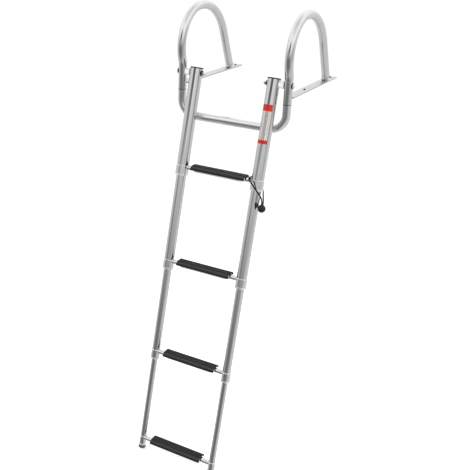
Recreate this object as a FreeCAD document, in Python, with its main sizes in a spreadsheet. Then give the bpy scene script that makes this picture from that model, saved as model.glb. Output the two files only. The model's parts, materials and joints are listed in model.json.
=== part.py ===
# Folding, telescoping boat ladder with two fixed handrails.
#
# Millimetres, +Z up, +X to the right of someone who faces the boat, +Y inboard,
# so that the ladder hangs on the -Y side.  The origin lies on the underside of
# the right-hand deck bar, which is where the boat's deck carries the part.
#
# Two bent handrail tubes stand on flat deck bars.  A U-shaped tube butts against
# the lower ends of their front legs, with a sleeve inside each joint, and crosses
# behind the ladder, which leans on it.  The ladder hangs from two pivot bolts
# between the front legs and has four nested pairs of stiles, each pair with a
# step near its foot.

import FreeCAD, Part
import Sketcher
import math
import os

V = FreeCAD.Vector
doc = FreeCAD.newDocument("boat_ladder")
sheet = doc.addObject("Spreadsheet::Sheet", "Sizes")

# name, value in mm or degrees, what it is
SIZES = [
    ("step_pitch", "300", "from one step to the next along the stiles"),
    ("first_step", "287", "from the pivot to the first step along the stiles"),
    ("stile_spacing", "254", "between the stiles' centre lines"),
    ("stile_1_od", "38.1", "uppermost stile tube"),
    ("nest_2", "6.35", "second stile tube's diameter, less than the first"),
    ("nest_3", "6.35", "third stile tube's diameter, less than the second"),
    ("nest_4", "6.35", "lowest stile tube's diameter, less than the third"),
    ("stile_wall", "1.5", "wall of every stile tube"),
    ("stile_top", "13", "uppermost stile above the pivot"),
    ("overlap", "48", "length of each inner stile inside the next one out"),
    ("slide_gap", "0.35", "radial running clearance of the telescoping tubes"),
    ("seat_gap", "0.1", "clearance of pieces that are seated in each other"),
    ("rest_gap", "0.3", "clearance of pieces that touch but move"),
    ("collar_wall", "1", "wall of the ring at a step's end"),
    ("collar_over", "4", "ring above the step's centre line"),
    ("collar_under", "22", "ring below the step's centre line, without its lip"),
    ("lip_height", "4", "bottom lip of the ring"),
    ("lip_out", "0.6", "how far the lip stands out of the ring"),
    ("step_depth", "34", "flattened step tube, front to back"),
    ("step_height", "16", "flattened step tube, top to bottom"),
    ("neck_depth", "17", "step tube from the tread's end to the ring, front to back"),
    ("neck_height", "13", "step tube from the tread's end to the ring, top to bottom"),
    ("neck_inside", "1", "neck inside the tread's end"),
    ("neck_taper", "14", "taper from the flattened tube to its neck"),
    ("tread_length", "180", "plastic tread, side to side"),
    ("tread_wall", "3", "thickness of the plastic tread"),
    ("rib_height", "1", "ribs on the tread"),
    ("rib_width", "1.8", "ribs on the tread"),
    ("rib_pitch", "3.6", "ribs on the tread"),
    ("cap_flange", "3.5", "flange of the top cap"),
    ("cap_over", "1", "how far the cap stands out of the stile"),
    ("cap_plug", "5", "depth of the cap's plug"),
    ("foot_length", "10", "rubber foot below the lowest ring"),
    ("foot_wall", "2", "rubber foot's wall"),
    ("rail_od", "25.4", "handrail tube"),
    ("rail_wall", "1.5", "wall of the handrail tube and the cross tube"),
    ("rail_height", "187.1", "handrail's top centre line above the pivot"),
    ("rail_bend", "115", "radius of the handrail's front bend"),
    ("rail_kink", "60", "radius of the small outboard bend above the pivot"),
    ("rail_kink_start", "14", "start of the small outboard bend above the pivot"),
    ("rail_crown", "12", "straight between the handrail's front and rear bends"),
    ("rail_foot_y", "320", "rear leg's foot behind the pivot"),
    ("rail_foot_z", "20", "rear leg's end below the pivot"),
    ("rail_lean", "25.75", "lean of the rear leg in degrees"),
    ("spacer_length", "14.9", "white nylon spacer at the pivot"),
    ("spacer_od", "22", "white nylon spacer at the pivot"),
    ("bolt_d", "8", "pivot bolt"),
    ("bolt_play", "0.3", "radial clearance of the stile on the bolt"),
    ("head_d", "15", "pivot bolt's head"),
    ("head_height", "5.5", "pivot bolt's head"),
    ("nut_flats", "13", "acorn nut across its flats"),
    ("nut_height", "6.5", "hexagon of the acorn nut"),
    ("joint_drop", "54", "front leg's lower end below the pivot"),
    ("joint_gap", "1", "groove between the front leg and the cross tube"),
    ("sleeve_above", "28", "joint sleeve inside the front leg"),
    ("sleeve_below", "18", "joint sleeve inside the cross tube"),
    ("sleeve_wall", "2", "wall of the joint sleeve"),
    ("cross_drop", "133", "cross tube's centre below the pivot"),
    ("cross_bend", "48", "bend radius of the cross tube"),
    ("bar_width", "30", "deck bar"),
    ("bar_thick", "4", "deck bar"),
    ("bar_tail", "72", "deck bar behind the rear leg's foot"),
    ("bar_start_y", "8", "deck bar's front end behind the pivot"),
    ("bar_mid_y", "200", "origin behind the pivot"),
    ("pivot_height", "37", "pivot above the deck"),
    ("screw_d", "6.5", "screw holes in the deck bar"),
    ("screw_y1", "133", "middle screw hole behind the pivot"),
    ("screw_end", "22", "rear screw hole from the deck bar's end"),
    ("boss_d", "20", "boss of the rear foot on the deck bar"),
    ("foot_ring", "4", "ring under the rear leg's end"),
    ("foot_plug", "18", "plug of the rear foot inside the leg"),
    ("cord_d", "4", "elastic cord"),
    ("ball_d", "24", "ball on the elastic cord"),
    ("ball_flat", "1", "depth of the flat where the cord enters the ball"),
]
for row, (name, value, note) in enumerate(SIZES, start=1):
    sheet.set("A%d" % row, name)
    sheet.set("B%d" % row, value)
    sheet.set("C%d" % row, note)
    sheet.setAlias("B%d" % row, name)
doc.recompute()


class Dim:
    """A size that knows its value and the expression that gives it."""

    def __init__(self, value, text):
        self.v = value
        self.e = text

    @staticmethod
    def of(x):
        return x if isinstance(x, Dim) else Dim(float(x), repr(float(x)))

    def __add__(self, o):
        o = Dim.of(o)
        return Dim(self.v + o.v, "(%s + %s)" % (self.e, o.e))

    def __sub__(self, o):
        o = Dim.of(o)
        return Dim(self.v - o.v, "(%s - %s)" % (self.e, o.e))

    def __mul__(self, o):
        o = Dim.of(o)
        return Dim(self.v * o.v, "(%s * %s)" % (self.e, o.e))

    def __truediv__(self, o):
        o = Dim.of(o)
        return Dim(self.v / o.v, "(%s / %s)" % (self.e, o.e))

    def __neg__(self):
        return Dim(-self.v, "(0 - %s)" % self.e)

    def __radd__(self, o):
        return Dim.of(o) + self

    def __rsub__(self, o):
        return Dim.of(o) - self


D = {name: Dim(float(sheet.get(name)), "Sizes." + name) for name, _, _ in SIZES}


class Names:
    pass


S = Names()
for name in D:
    setattr(S, name, D[name])

# placements
half = S.stile_spacing / 2
rail_x = half + S.stile_1_od / 2 + S.rest_gap + S.spacer_length + S.seat_gap + S.rail_od / 2
# the stiles' own clearance from the cross tube sets the ladder's lean
lean = math.degrees(math.asin(
    (S.stile_1_od.v / 2 + S.rail_od.v / 2 + S.rest_gap.v) / S.cross_drop.v))
PIVOT = V(-rail_x.v, -S.bar_mid_y.v, S.pivot_height.v)
FRAME = FreeCAD.Placement(PIVOT, FreeCAD.Rotation())
LADDER = FreeCAD.Placement(PIVOT, FreeCAD.Rotation(V(1, 0, 0), -lean))
LEVEL = FreeCAD.Rotation(V(1, 0, 0), lean)
X_AXIS = FreeCAD.Rotation(V(0, 1, 0), 90)     # turns +Z to +X


def at(x, y, z, rot=None):
    return FreeCAD.Placement(V(x, y, z), rot or FreeCAD.Rotation())


# helpers
NODES = []


def keep(obj, label, placement=None):
    obj.Label = label
    if placement is not None:
        obj.Placement = placement
    NODES.append(obj)
    return obj


def bind(obj, **sizes):
    for prop, d in sizes.items():
        obj.setExpression(prop, Dim.of(d).e)


def cylinder(name, r, h, placement):
    c = doc.addObject("Part::Cylinder", name)
    bind(c, Radius=r, Height=h)
    c.Placement = placement
    return c


def fuse(name, shapes):
    f = doc.addObject("Part::MultiFuse", name)
    f.Shapes = shapes
    f.Refine = True
    return f


def cut(name, base, tool):
    c = doc.addObject("Part::Cut", name)
    c.Base = base
    c.Tool = tool
    return c


def plane(body, role):
    for f in body.Origin.OriginFeatures:
        if f.Role == role:
            return f


def sketch(body, name, role, offset=None):
    s = body.newObject("Sketcher::SketchObject", name)
    s.AttachmentSupport = (plane(body, role), [""])
    s.MapMode = "FlatFace"
    if offset is not None:
        s.AttachmentOffset = offset
    return s


def fix(s, geo, pos, x, y):
    """Pins one point of a sketch to two sizes."""
    for kind, d in (("DistanceX", x), ("DistanceY", y)):
        d = Dim.of(d)
        k = s.addConstraint(Sketcher.Constraint(kind, -1, 1, geo, pos, d.v))
        s.setExpression("Constraints[%d]" % k, d.e)


def circle(s, x, y, r):
    x, y, r = Dim.of(x), Dim.of(y), Dim.of(r)
    g = s.addGeometry(Part.Circle(V(x.v, y.v, 0), V(0, 0, 1), r.v), False)
    k = s.addConstraint(Sketcher.Constraint("Radius", g, r.v))
    s.setExpression("Constraints[%d]" % k, r.e)
    fix(s, g, 3, x, y)
    return g


def polygon(s, pts):
    """A closed outline with both coordinates of each corner set by sizes."""
    pts = [(Dim.of(a), Dim.of(b)) for a, b in pts]
    n = len(pts)
    ids = []
    for i in range(n):
        a, b = pts[i], pts[(i + 1) % n]
        ids.append(s.addGeometry(Part.LineSegment(V(a[0].v, a[1].v, 0), V(b[0].v, b[1].v, 0)), False))
    for i in range(n):
        s.addConstraint(Sketcher.Constraint("Coincident", ids[i], 2, ids[(i + 1) % n], 1))
        fix(s, ids[i], 1, *pts[i])
    return ids


def stadium(s, a, b, turn=0.0):
    """Rounded bar section: width a, height b, both ends half circles."""
    a, b = Dim.of(a), Dim.of(b)
    r, k = b.v / 2, (a.v - b.v) / 2
    c, n = math.cos(math.radians(turn)), math.sin(math.radians(turn))

    def p(x, y):
        return V(x * c - y * n, x * n + y * c, 0)

    t = math.radians(turn)
    top = s.addGeometry(Part.LineSegment(p(k, r), p(-k, r)), False)
    left = s.addGeometry(Part.ArcOfCircle(Part.Circle(p(-k, 0), V(0, 0, 1), r), math.pi / 2 + t, 3 * math.pi / 2 + t), False)
    low = s.addGeometry(Part.LineSegment(p(-k, -r), p(k, -r)), False)
    right = s.addGeometry(Part.ArcOfCircle(Part.Circle(p(k, 0), V(0, 0, 1), r), -math.pi / 2 + t, math.pi / 2 + t), False)
    for g, h in ((top, left), (left, low), (low, right), (right, top)):
        s.addConstraint(Sketcher.Constraint("Coincident", g, 2, h, 1))
    q = s.addConstraint(Sketcher.Constraint("Radius", left, r))
    s.setExpression("Constraints[%d]" % q, (b / 2).e)
    q = s.addConstraint(Sketcher.Constraint("Radius", right, r))
    s.setExpression("Constraints[%d]" % q, (b / 2).e)
    return s


def body(name):
    return doc.addObject("PartDesign::Body", name)


def revolve(name, label, outline, placement, holes=()):
    """Turned piece: the outline is (radius, height along the axis)."""
    b = body(name)
    s = sketch(b, name + "_profile", "XZ_Plane")
    polygon(s, outline)
    f = b.newObject("PartDesign::Revolution", name + "_turn")
    f.Profile = s
    f.ReferenceAxis = (s, ["V_Axis"])
    f.Angle = 360
    b.Tip = f
    if label:
        keep(b, label, placement)
    else:
        b.Placement = placement
    return b


# handrails
def handrail(side):
    """Hoop in the YZ plane, drawn at x = 0 with the pivot at the origin."""
    name = "handrail_" + side
    b = body(name)
    R, K = S.rail_bend.v, S.rail_kink.v
    top, low_end, start = S.rail_height.v, -S.joint_drop.v, S.rail_kink_start.v
    psi = math.radians(S.rail_lean.v)
    by, bz = S.rail_foot_y.v, -S.rail_foot_z.v
    # the small bend turns the leg outboard until the front bend reaches the top
    out = math.asin((top - start - R) / (K + R))
    c0, c1 = V(-K, start, 0), V(-K + (K + R) * math.cos(out), top - R, 0)
    bend_in = V(-K + K * math.cos(out), start + K * math.sin(out), 0)
    crown = c1.x + S.rail_crown.v
    # the rear bend's radius follows from the foot's place and the leg's lean
    Q = (by - crown - (top - bz) * math.tan(psi)) / (1 / math.cos(psi) - math.tan(psi))
    c2 = V(crown, top - Q, 0)
    leg = V(crown + Q * math.cos(psi), top - Q + Q * math.sin(psi), 0)
    # the path sketch lies in the YZ plane: sketch x is +Y, sketch y is +Z
    path = sketch(b, name + "_path", "YZ_Plane")
    segs = [
        Part.LineSegment(V(0, low_end, 0), V(0, start, 0)),
        Part.ArcOfCircle(Part.Circle(c0, V(0, 0, 1), K), 0, out),
        Part.ArcOfCircle(Part.Circle(c1, V(0, 0, 1), R), math.pi / 2, math.pi + out),
        Part.LineSegment(V(c1.x, top, 0), V(crown, top, 0)),
        Part.ArcOfCircle(Part.Circle(c2, V(0, 0, 1), Q), psi, math.pi / 2),
        Part.LineSegment(leg, V(by, bz, 0)),
    ]
    ids = [path.addGeometry(g, False) for g in segs]
    # arcs run against the clock, so some are joined end to end
    path.addConstraint([
        Sketcher.Constraint("Tangent", ids[0], 2, ids[1], 1),
        Sketcher.Constraint("Tangent", ids[1], 2, ids[2], 2),
        Sketcher.Constraint("Tangent", ids[2], 1, ids[3], 1),
        Sketcher.Constraint("Tangent", ids[3], 2, ids[4], 2),
        Sketcher.Constraint("Tangent", ids[4], 1, ids[5], 1),
        Sketcher.Constraint("Vertical", ids[0]),
        Sketcher.Constraint("Horizontal", ids[3]),
    ])
    for g, size in ((ids[1], S.rail_kink), (ids[2], S.rail_bend)):
        k = path.addConstraint(Sketcher.Constraint("Radius", g, size.v))
        path.setExpression("Constraints[%d]" % k, size.e)
    k = path.addConstraint(Sketcher.Constraint("DistanceX", ids[3], 1, ids[3], 2, S.rail_crown.v))
    path.setExpression("Constraints[%d]" % k, S.rail_crown.e)
    fix(path, ids[0], 1, 0, -S.joint_drop)
    for g, end, size in ((ids[0], 2, S.rail_kink_start), (ids[3], 1, S.rail_height)):
        k = path.addConstraint(Sketcher.Constraint("DistanceY", -1, 1, g, end, size.v))
        path.setExpression("Constraints[%d]" % k, size.e)
    fix(path, ids[5], 2, S.rail_foot_y, -S.rail_foot_z)
    prof = sketch(b, name + "_ring", "XY_Plane", at(0, 0, low_end))
    prof.setExpression("AttachmentOffset.Base.z", (-S.joint_drop).e)
    circle(prof, 0, 0, S.rail_od / 2)
    circle(prof, 0, 0, S.rail_od / 2 - S.rail_wall)
    f = b.newObject("PartDesign::AdditivePipe", name + "_tube")
    f.Profile = prof
    f.Spine = path
    b.Tip = f
    hole = sketch(b, name + "_hole", "YZ_Plane")
    circle(hole, 0, 0, S.bolt_d / 2 + S.seat_gap)
    p = b.newObject("PartDesign::Pocket", name + "_bolt_hole")
    p.Profile = hole
    p.Type = 0
    p.SideType = "Symmetric" if hasattr(p, "SideType") else 0
    bind(p, Length=S.rail_od + 4)
    b.Tip = p
    return b


for side, sx in (("left", -1), ("right", 1)):
    keep(handrail(side), "handrail_" + side, FRAME * at(sx * rail_x.v, 0, 0))

# cross tube
b = body("cross_tube_body")
path = sketch(b, "cross_path", "XZ_Plane")
R = S.cross_bend.v
cross_top = S.joint_drop + S.joint_gap
X, Z, T = rail_x.v, -S.cross_drop.v, -cross_top.v
segs = [
    Part.LineSegment(V(-X, T, 0), V(-X, Z + R, 0)),
    Part.ArcOfCircle(Part.Circle(V(-X + R, Z + R, 0), V(0, 0, 1), R), math.pi, 1.5 * math.pi),
    Part.LineSegment(V(-X + R, Z, 0), V(X - R, Z, 0)),
    Part.ArcOfCircle(Part.Circle(V(X - R, Z + R, 0), V(0, 0, 1), R), 1.5 * math.pi, 2 * math.pi),
    Part.LineSegment(V(X, Z + R, 0), V(X, T, 0)),
]
ids = [path.addGeometry(g, False) for g in segs]
for a, c in zip(ids[:-1], ids[1:]):
    path.addConstraint(Sketcher.Constraint("Tangent", a, 2, c, 1))
for g in (ids[1], ids[3]):
    k = path.addConstraint(Sketcher.Constraint("Radius", g, R))
    path.setExpression("Constraints[%d]" % k, S.cross_bend.e)
fix(path, ids[0], 1, -rail_x, -cross_top)
fix(path, ids[4], 2, rail_x, -cross_top)
path.addConstraint(Sketcher.Constraint("Vertical", ids[0]))
path.addConstraint(Sketcher.Constraint("Horizontal", ids[2]))
path.addConstraint(Sketcher.Constraint("Vertical", ids[4]))
k = path.addConstraint(Sketcher.Constraint("DistanceY", -1, 1, ids[2], 1, Z))
path.setExpression("Constraints[%d]" % k, (-S.cross_drop).e)
prof = sketch(b, "cross_ring", "XY_Plane", at(0, 0, T))
prof.setExpression("AttachmentOffset.Base.z", (-cross_top).e)
circle(prof, -rail_x, 0, S.rail_od / 2)
circle(prof, -rail_x, 0, S.rail_od / 2 - S.rail_wall)
f = b.newObject("PartDesign::AdditivePipe", "cross_tube")
f.Profile = prof
f.Spine = path
b.Tip = f
# a sleeve inside each joint: fixed in the cross tube, a sliding fit in the leg
inside = S.rail_od / 2 - S.rail_wall
parts = [b]
for side, sx in (("left", -1), ("right", 1)):
    x = sx * rail_x.v
    held = cylinder("sleeve_held_" + side, inside, S.sleeve_below, at(x, 0, -(cross_top + S.sleeve_below).v))
    free = cylinder("sleeve_free_" + side, inside - S.seat_gap, S.joint_gap + S.sleeve_above, at(x, 0, -cross_top.v))
    bore = cylinder("sleeve_bore_" + side, inside - S.sleeve_wall,
                    S.sleeve_below + S.joint_gap + S.sleeve_above + 2, at(x, 0, -(cross_top + S.sleeve_below).v - 1))
    parts.append(cut("sleeve_" + side, fuse("sleeve_blank_" + side, [held, free]), bore))
keep(fuse("cross_bar", parts), "cross_bar", FRAME)

# deck bars
for side, sx in (("left", -1), ("right", 1)):
    name = "deck_bar_" + side
    b = body(name)
    s = sketch(b, name + "_plan", "XY_Plane")
    w = S.bar_width / 2
    end = S.rail_foot_y + S.bar_tail
    polygon(s, [(-w, S.bar_start_y), (w, S.bar_start_y), (w, end), (-w, end)])
    circle(s, 0, S.screw_y1, S.screw_d / 2)
    circle(s, 0, end - S.screw_end, S.screw_d / 2)
    p = b.newObject("PartDesign::Pad", name + "_strip")
    p.Profile = s
    bind(p, Length=S.bar_thick)
    b.Tip = p
    notch = sketch(b, name + "_notch", "XY_Plane")
    circle(notch, 0, 0, S.rail_od / 2 + S.seat_gap)
    q = b.newObject("PartDesign::Pocket", name + "_saddle")
    q.Profile = notch
    q.Reversed = True
    bind(q, Length=S.bar_thick + 2)
    b.Tip = q
    keep(b, name, FRAME * at(sx * rail_x.v, 0, -S.pivot_height.v))

# rear feet
for side, sx in (("left", -1), ("right", 1)):
    name = "rear_foot_" + side
    y0, z0 = S.rail_foot_y.v, -S.rail_foot_z.v
    tilt = FreeCAD.Rotation(V(1, 0, 0), S.rail_lean.v)     # leans the top forward
    axis = tilt.multVec(V(0, 0, 1))
    plug = cylinder(name + "_plug", S.rail_od / 2 - S.rail_wall - S.seat_gap, S.foot_plug + S.foot_ring,
                    at(0, y0 - axis.y * S.foot_ring.v, z0 - axis.z * S.foot_ring.v, tilt))
    ring = cylinder(name + "_ring", S.rail_od / 2 + 0.6, S.foot_ring,
                    at(0, y0 - axis.y * (S.foot_ring.v + S.seat_gap.v), z0 - axis.z * (S.foot_ring.v + S.seat_gap.v), tilt))
    low = S.pivot_height - S.bar_thick - S.seat_gap
    boss = cylinder(name + "_boss", S.boss_d / 2, low - S.rail_foot_z - S.foot_ring / 2,
                    at(0, y0 - axis.y * S.foot_ring.v / 2, -low.v))
    keep(fuse(name, [plug, ring, boss]), name, FRAME * at(sx * rail_x.v, 0, 0))

# pivots
for side, sx in (("left", -1), ("right", 1)):
    name = "pivot_bolt_" + side
    rb = S.bolt_d / 2
    rail_out = rail_x + S.rail_od / 2 + S.seat_gap
    stile_in = half - S.stile_1_od / 2 - S.rest_gap
    reach = S.nut_height + 1
    # along +Z here, which is turned to point at the middle of the ladder
    grip = rail_out - stile_in
    rh, hh = S.head_d / 2, S.head_height
    revolve(name, name, [
        (0, -hh), (rh * 0.3, -hh * 0.95), (rh * 0.58, -hh * 0.8), (rh * 0.8, -hh * 0.56), (rh * 0.93, -hh * 0.32),
        (rh, 0), (rb, 0), (rb, grip + reach), (0, grip + reach)],
        FRAME * at(sx * rail_out.v, 0, 0, FreeCAD.Rotation(V(0, 1, 0), -90 * sx)))
    nut = body("pivot_nut_" + side)
    s = sketch(nut, "nut_hex_" + side, "XY_Plane")
    rc = S.nut_flats.v / math.sqrt(3)
    pts = [V(rc * math.cos(math.radians(60 * i)), rc * math.sin(math.radians(60 * i)), 0) for i in range(6)]
    ids = [s.addGeometry(Part.LineSegment(pts[i], pts[(i + 1) % 6]), False) for i in range(6)]
    for i in range(6):
        s.addConstraint(Sketcher.Constraint("Coincident", ids[i], 2, ids[(i + 1) % 6], 1))
    p = nut.newObject("PartDesign::Pad", "nut_body_" + side)
    p.Profile = s
    bind(p, Length=S.nut_height)
    dome = sketch(nut, "nut_dome_" + side, "XZ_Plane")
    rd = S.nut_flats / 2 - 0.6
    h = S.nut_height
    polygon(dome, [(0, h), (rd, h), (rd * 0.92, h + rd * 0.38), (rd * 0.7, h + rd * 0.7), (rd * 0.38, h + rd * 0.92), (0, h + rd)])
    r = nut.newObject("PartDesign::Revolution", "nut_cap_" + side)
    r.Profile = dome
    r.ReferenceAxis = (dome, ["V_Axis"])
    r.Angle = 360
    bore = sketch(nut, "nut_bore_" + side, "XY_Plane")
    circle(bore, 0, 0, rb + S.seat_gap)
    q = nut.newObject("PartDesign::Pocket", "nut_thread_" + side)
    q.Profile = bore
    q.Reversed = True
    bind(q, Length=reach + 0.5)
    nut.Tip = q
    keep(nut, "pivot_nut_" + side, FRAME * at(sx * stile_in.v, 0, 0, FreeCAD.Rotation(V(0, 1, 0), -90 * sx)))
    rs = S.spacer_od / 2
    revolve("pivot_spacer_" + side, "pivot_spacer_" + side, [
        (rb + S.seat_gap, 0), (rs, 0), (rs, S.spacer_length), (rb + S.seat_gap, S.spacer_length)],
        FRAME * at(sx * (half + S.stile_1_od / 2 + S.rest_gap).v, 0, 0, FreeCAD.Rotation(V(0, 1, 0), 90 * sx)))

# ladder
OD = [S.stile_1_od]
for step_down in (S.nest_2, S.nest_3, S.nest_4):
    OD.append(OD[-1] - step_down)


def step_at(i):
    return S.first_step + S.step_pitch * float(i)


for i in range(4):
    n = i + 1
    ro = OD[i] / 2
    ri = ro - S.stile_wall
    low = step_at(i) + S.collar_under
    if i == 0:
        high = -S.stile_top
    else:
        high = step_at(i - 1) + S.collar_under + S.lip_height - S.overlap
    for side, sx in (("left", -1), ("right", 1)):
        name = "stile_%d_%s" % (n, side)
        outer = cylinder(name + "_outer", ro, low - high, at(0, 0, -low.v))
        inner = cylinder(name + "_inner", ri, low - high + 2, at(0, 0, -low.v - 1))
        if i == 0:
            hole = cylinder(name + "_hole", S.bolt_d / 2 + S.bolt_play, OD[0] + 4,
                            at(-OD[0].v / 2 - 2, 0, 0, X_AXIS))
            tube = cut(name, outer, fuse(name + "_bores", [inner, hole]))
        else:
            tube = cut(name, outer, inner)
        keep(tube, name, LADDER * at(sx * half.v, 0, 0))
        if i == 0:
            revolve("cap_" + side, "top_cap_" + side, [
                (0, S.stile_top - S.cap_plug), (ri - S.seat_gap, S.stile_top - S.cap_plug),
                (ri - S.seat_gap, S.stile_top), (ro + S.cap_over, S.stile_top),
                (ro + S.cap_over, S.stile_top + S.cap_flange - 1), (ro + S.cap_over - 1, S.stile_top + S.cap_flange),
                (0, S.stile_top + S.cap_flange)], LADDER * at(sx * half.v, 0, 0))
        else:
            # nylon sleeve on the inner stile's top end: it runs in the next tube
            # out, and at full reach its foot rests on that tube's bottom lip
            rg = OD[i - 1] / 2 - S.stile_wall - S.slide_gap
            end = high + S.overlap - S.lip_height - S.rest_gap
            revolve("guide_%d_%s" % (n, side), "guide_ring_%d_%s" % (n, side), [
                (ro + S.seat_gap, -high), (ro + S.seat_gap, -end),
                (rg, -end), (rg, -(high + 1)), (rg - 0.6, -high)], LADDER * at(sx * half.v, 0, 0))
        if i == 3:
            z = low + S.lip_height
            revolve("foot_" + side, "foot_" + side, [
                (0, -(low + S.seat_gap)), (ro - S.stile_wall - S.seat_gap - 0, -(low + S.seat_gap)),
                (ro - S.stile_wall - S.seat_gap, -(z + S.seat_gap)),
                (ro + S.foot_wall, -(z + S.seat_gap)), (ro + S.foot_wall, -(z + S.foot_length - 1)),
                (ro + S.foot_wall - 1, -(z + S.foot_length)), (0, -(z + S.foot_length))],
                LADDER * at(sx * half.v, 0, 0))

    # step: flattened tube between two rings
    s_mid = step_at(i)
    core = body("step_%d_core" % n)
    rc = ro + S.seat_gap + S.collar_wall
    x_end = half - ro / 2
    x_neck = S.tread_length / 2 - S.neck_inside
    x_mid = x_neck - S.neck_taper
    sections = []
    for j, (x, a, h2) in enumerate((
            (-x_end, S.neck_depth, S.neck_height), (-x_neck, S.neck_depth, S.neck_height),
            (-x_mid, S.step_depth, S.step_height), (x_mid, S.step_depth, S.step_height),
            (x_neck, S.neck_depth, S.neck_height), (x_end, S.neck_depth, S.neck_height))):
        s = sketch(core, "step_%d_s%d" % (n, j), "YZ_Plane", at(0, 0, x.v))
        s.setExpression("AttachmentOffset.Base.z", x.e)
        stadium(s, a, h2)
        sections.append(s)
    loft = core.newObject("PartDesign::AdditiveLoft", "step_%d_loft" % n)
    loft.Profile = sections[0]
    loft.Sections = sections[1:]
    loft.Ruled = True
    core.Tip = loft
    core.Placement = at(0, 0, -s_mid.v, LEVEL)
    parts = [core]
    bores = []
    if i < 3:
        lip_ri = OD[i + 1] / 2 + S.slide_gap
    else:
        lip_ri = ro - S.stile_wall
    for side, sx in (("left", -1), ("right", 1)):
        x = sx * half.v
        parts.append(cylinder("ring_%d_%s" % (n, side), rc, S.collar_over + S.collar_under,
                              at(x, 0, -low.v)))
        parts.append(cylinder("lip_%d_%s" % (n, side), rc + S.lip_out, S.lip_height,
                              at(x, 0, -(low + S.lip_height).v)))
        bores.append(cylinder("seat_%d_%s" % (n, side), ro + S.seat_gap, S.collar_over + S.collar_under + 20,
                              at(x, 0, -low.v - S.seat_gap.v)))
        bores.append(cylinder("run_%d_%s" % (n, side), lip_ri, S.lip_height + 4, at(x, 0, -(low + S.lip_height).v - 1)))
    step = cut("step_%d" % n, fuse("step_%d_blank" % n, parts), fuse("step_%d_bores" % n, bores))
    keep(step, "step_%d" % n, LADDER)

    # tread: ribbed plastic cover over the upper half of the step tube
    t = body("tread_%d" % n)
    s = sketch(t, "tread_%d_section" % n, "YZ_Plane", at(0, 0, -S.tread_length.v / 2))
    s.setExpression("AttachmentOffset.Base.z", (-(S.tread_length / 2)).e)
    k = (S.step_depth - S.step_height) / 2
    r1 = S.step_height / 2 + S.seat_gap
    r2 = r1 + S.tread_wall
    g = []
    g.append(s.addGeometry(Part.LineSegment(V(k.v, r2.v, 0), V(-k.v, r2.v, 0)), False))
    g.append(s.addGeometry(Part.ArcOfCircle(Part.Circle(V(-k.v, 0, 0), V(0, 0, 1), r2.v), math.pi / 2, math.pi), False))
    g.append(s.addGeometry(Part.LineSegment(V(-k.v - r2.v, 0, 0), V(-k.v - r1.v, 0, 0)), False))
    g.append(s.addGeometry(Part.ArcOfCircle(Part.Circle(V(-k.v, 0, 0), V(0, 0, 1), r1.v), math.pi / 2, math.pi), False))
    g.append(s.addGeometry(Part.LineSegment(V(-k.v, r1.v, 0), V(k.v, r1.v, 0)), False))
    g.append(s.addGeometry(Part.ArcOfCircle(Part.Circle(V(k.v, 0, 0), V(0, 0, 1), r1.v), 0, math.pi / 2), False))
    g.append(s.addGeometry(Part.LineSegment(V(k.v + r1.v, 0, 0), V(k.v + r2.v, 0, 0)), False))
    g.append(s.addGeometry(Part.ArcOfCircle(Part.Circle(V(k.v, 0, 0), V(0, 0, 1), r2.v), 0, math.pi / 2), False))
    C = Sketcher.Constraint
    s.addConstraint([C("Coincident", g[0], 2, g[1], 1), C("Coincident", g[1], 2, g[2], 1), C("Coincident", g[2], 2, g[3], 2),
                     C("Coincident", g[3], 1, g[4], 1), C("Coincident", g[4], 2, g[5], 2), C("Coincident", g[5], 1, g[6], 1),
                     C("Coincident", g[6], 2, g[7], 1), C("Coincident", g[7], 2, g[0], 1)])
    for geo, d in ((g[1], r2), (g[3], r1), (g[5], r1), (g[7], r2)):
        q = s.addConstraint(C("Radius", geo, d.v))
        s.setExpression("Constraints[%d]" % q, d.e)
    p = t.newObject("PartDesign::Pad", "tread_%d_cover" % n)
    p.Profile = s
    bind(p, Length=S.tread_length)
    rib = sketch(t, "tread_%d_rib" % n, "YZ_Plane", at(0, 0, -S.tread_length.v / 2))
    rib.setExpression("AttachmentOffset.Base.z", (-(S.tread_length / 2)).e)
    w = S.rib_width / 2
    first = -(S.rib_pitch * 2.5)
    polygon(rib, [(first - w, r2 - 0.5), (first + w, r2 - 0.5), (first + w, r2 + S.rib_height), (first - w, r2 + S.rib_height)])
    p2 = t.newObject("PartDesign::Pad", "tread_%d_rib_pad" % n)
    p2.Profile = rib
    bind(p2, Length=S.tread_length)
    pat = t.newObject("PartDesign::LinearPattern", "tread_%d_ribs" % n)
    pat.Originals = [p2]
    pat.Direction = (plane(t, "Y_Axis"), [""])
    pat.Occurrences = 6
    bind(pat, Length=S.rib_pitch * 5.0)
    t.Tip = pat
    keep(t, "tread_%d" % n, LADDER * at(0, 0, -s_mid.v, LEVEL))

# elastic cord
# Chosen points of the loop: from the right stile's centre line, +X outward,
# +Y inboard, and down the stile from the pivot.
BALL = (35, -22, 360)
LOOP = [(32.8, -22, 349), (32.8, -22, 335), (22, -29, 320), (6, -31, 306), (-11, -30, 291),
        (-28, -20, 281), (-28, 14.9, 275.2), (-20, 27, 282), (3, 33, 295),
        (23.5, 18.5, 309), (30.5, -2, 320), (37.2, -22, 334), (37.2, -22, 349)]


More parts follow.
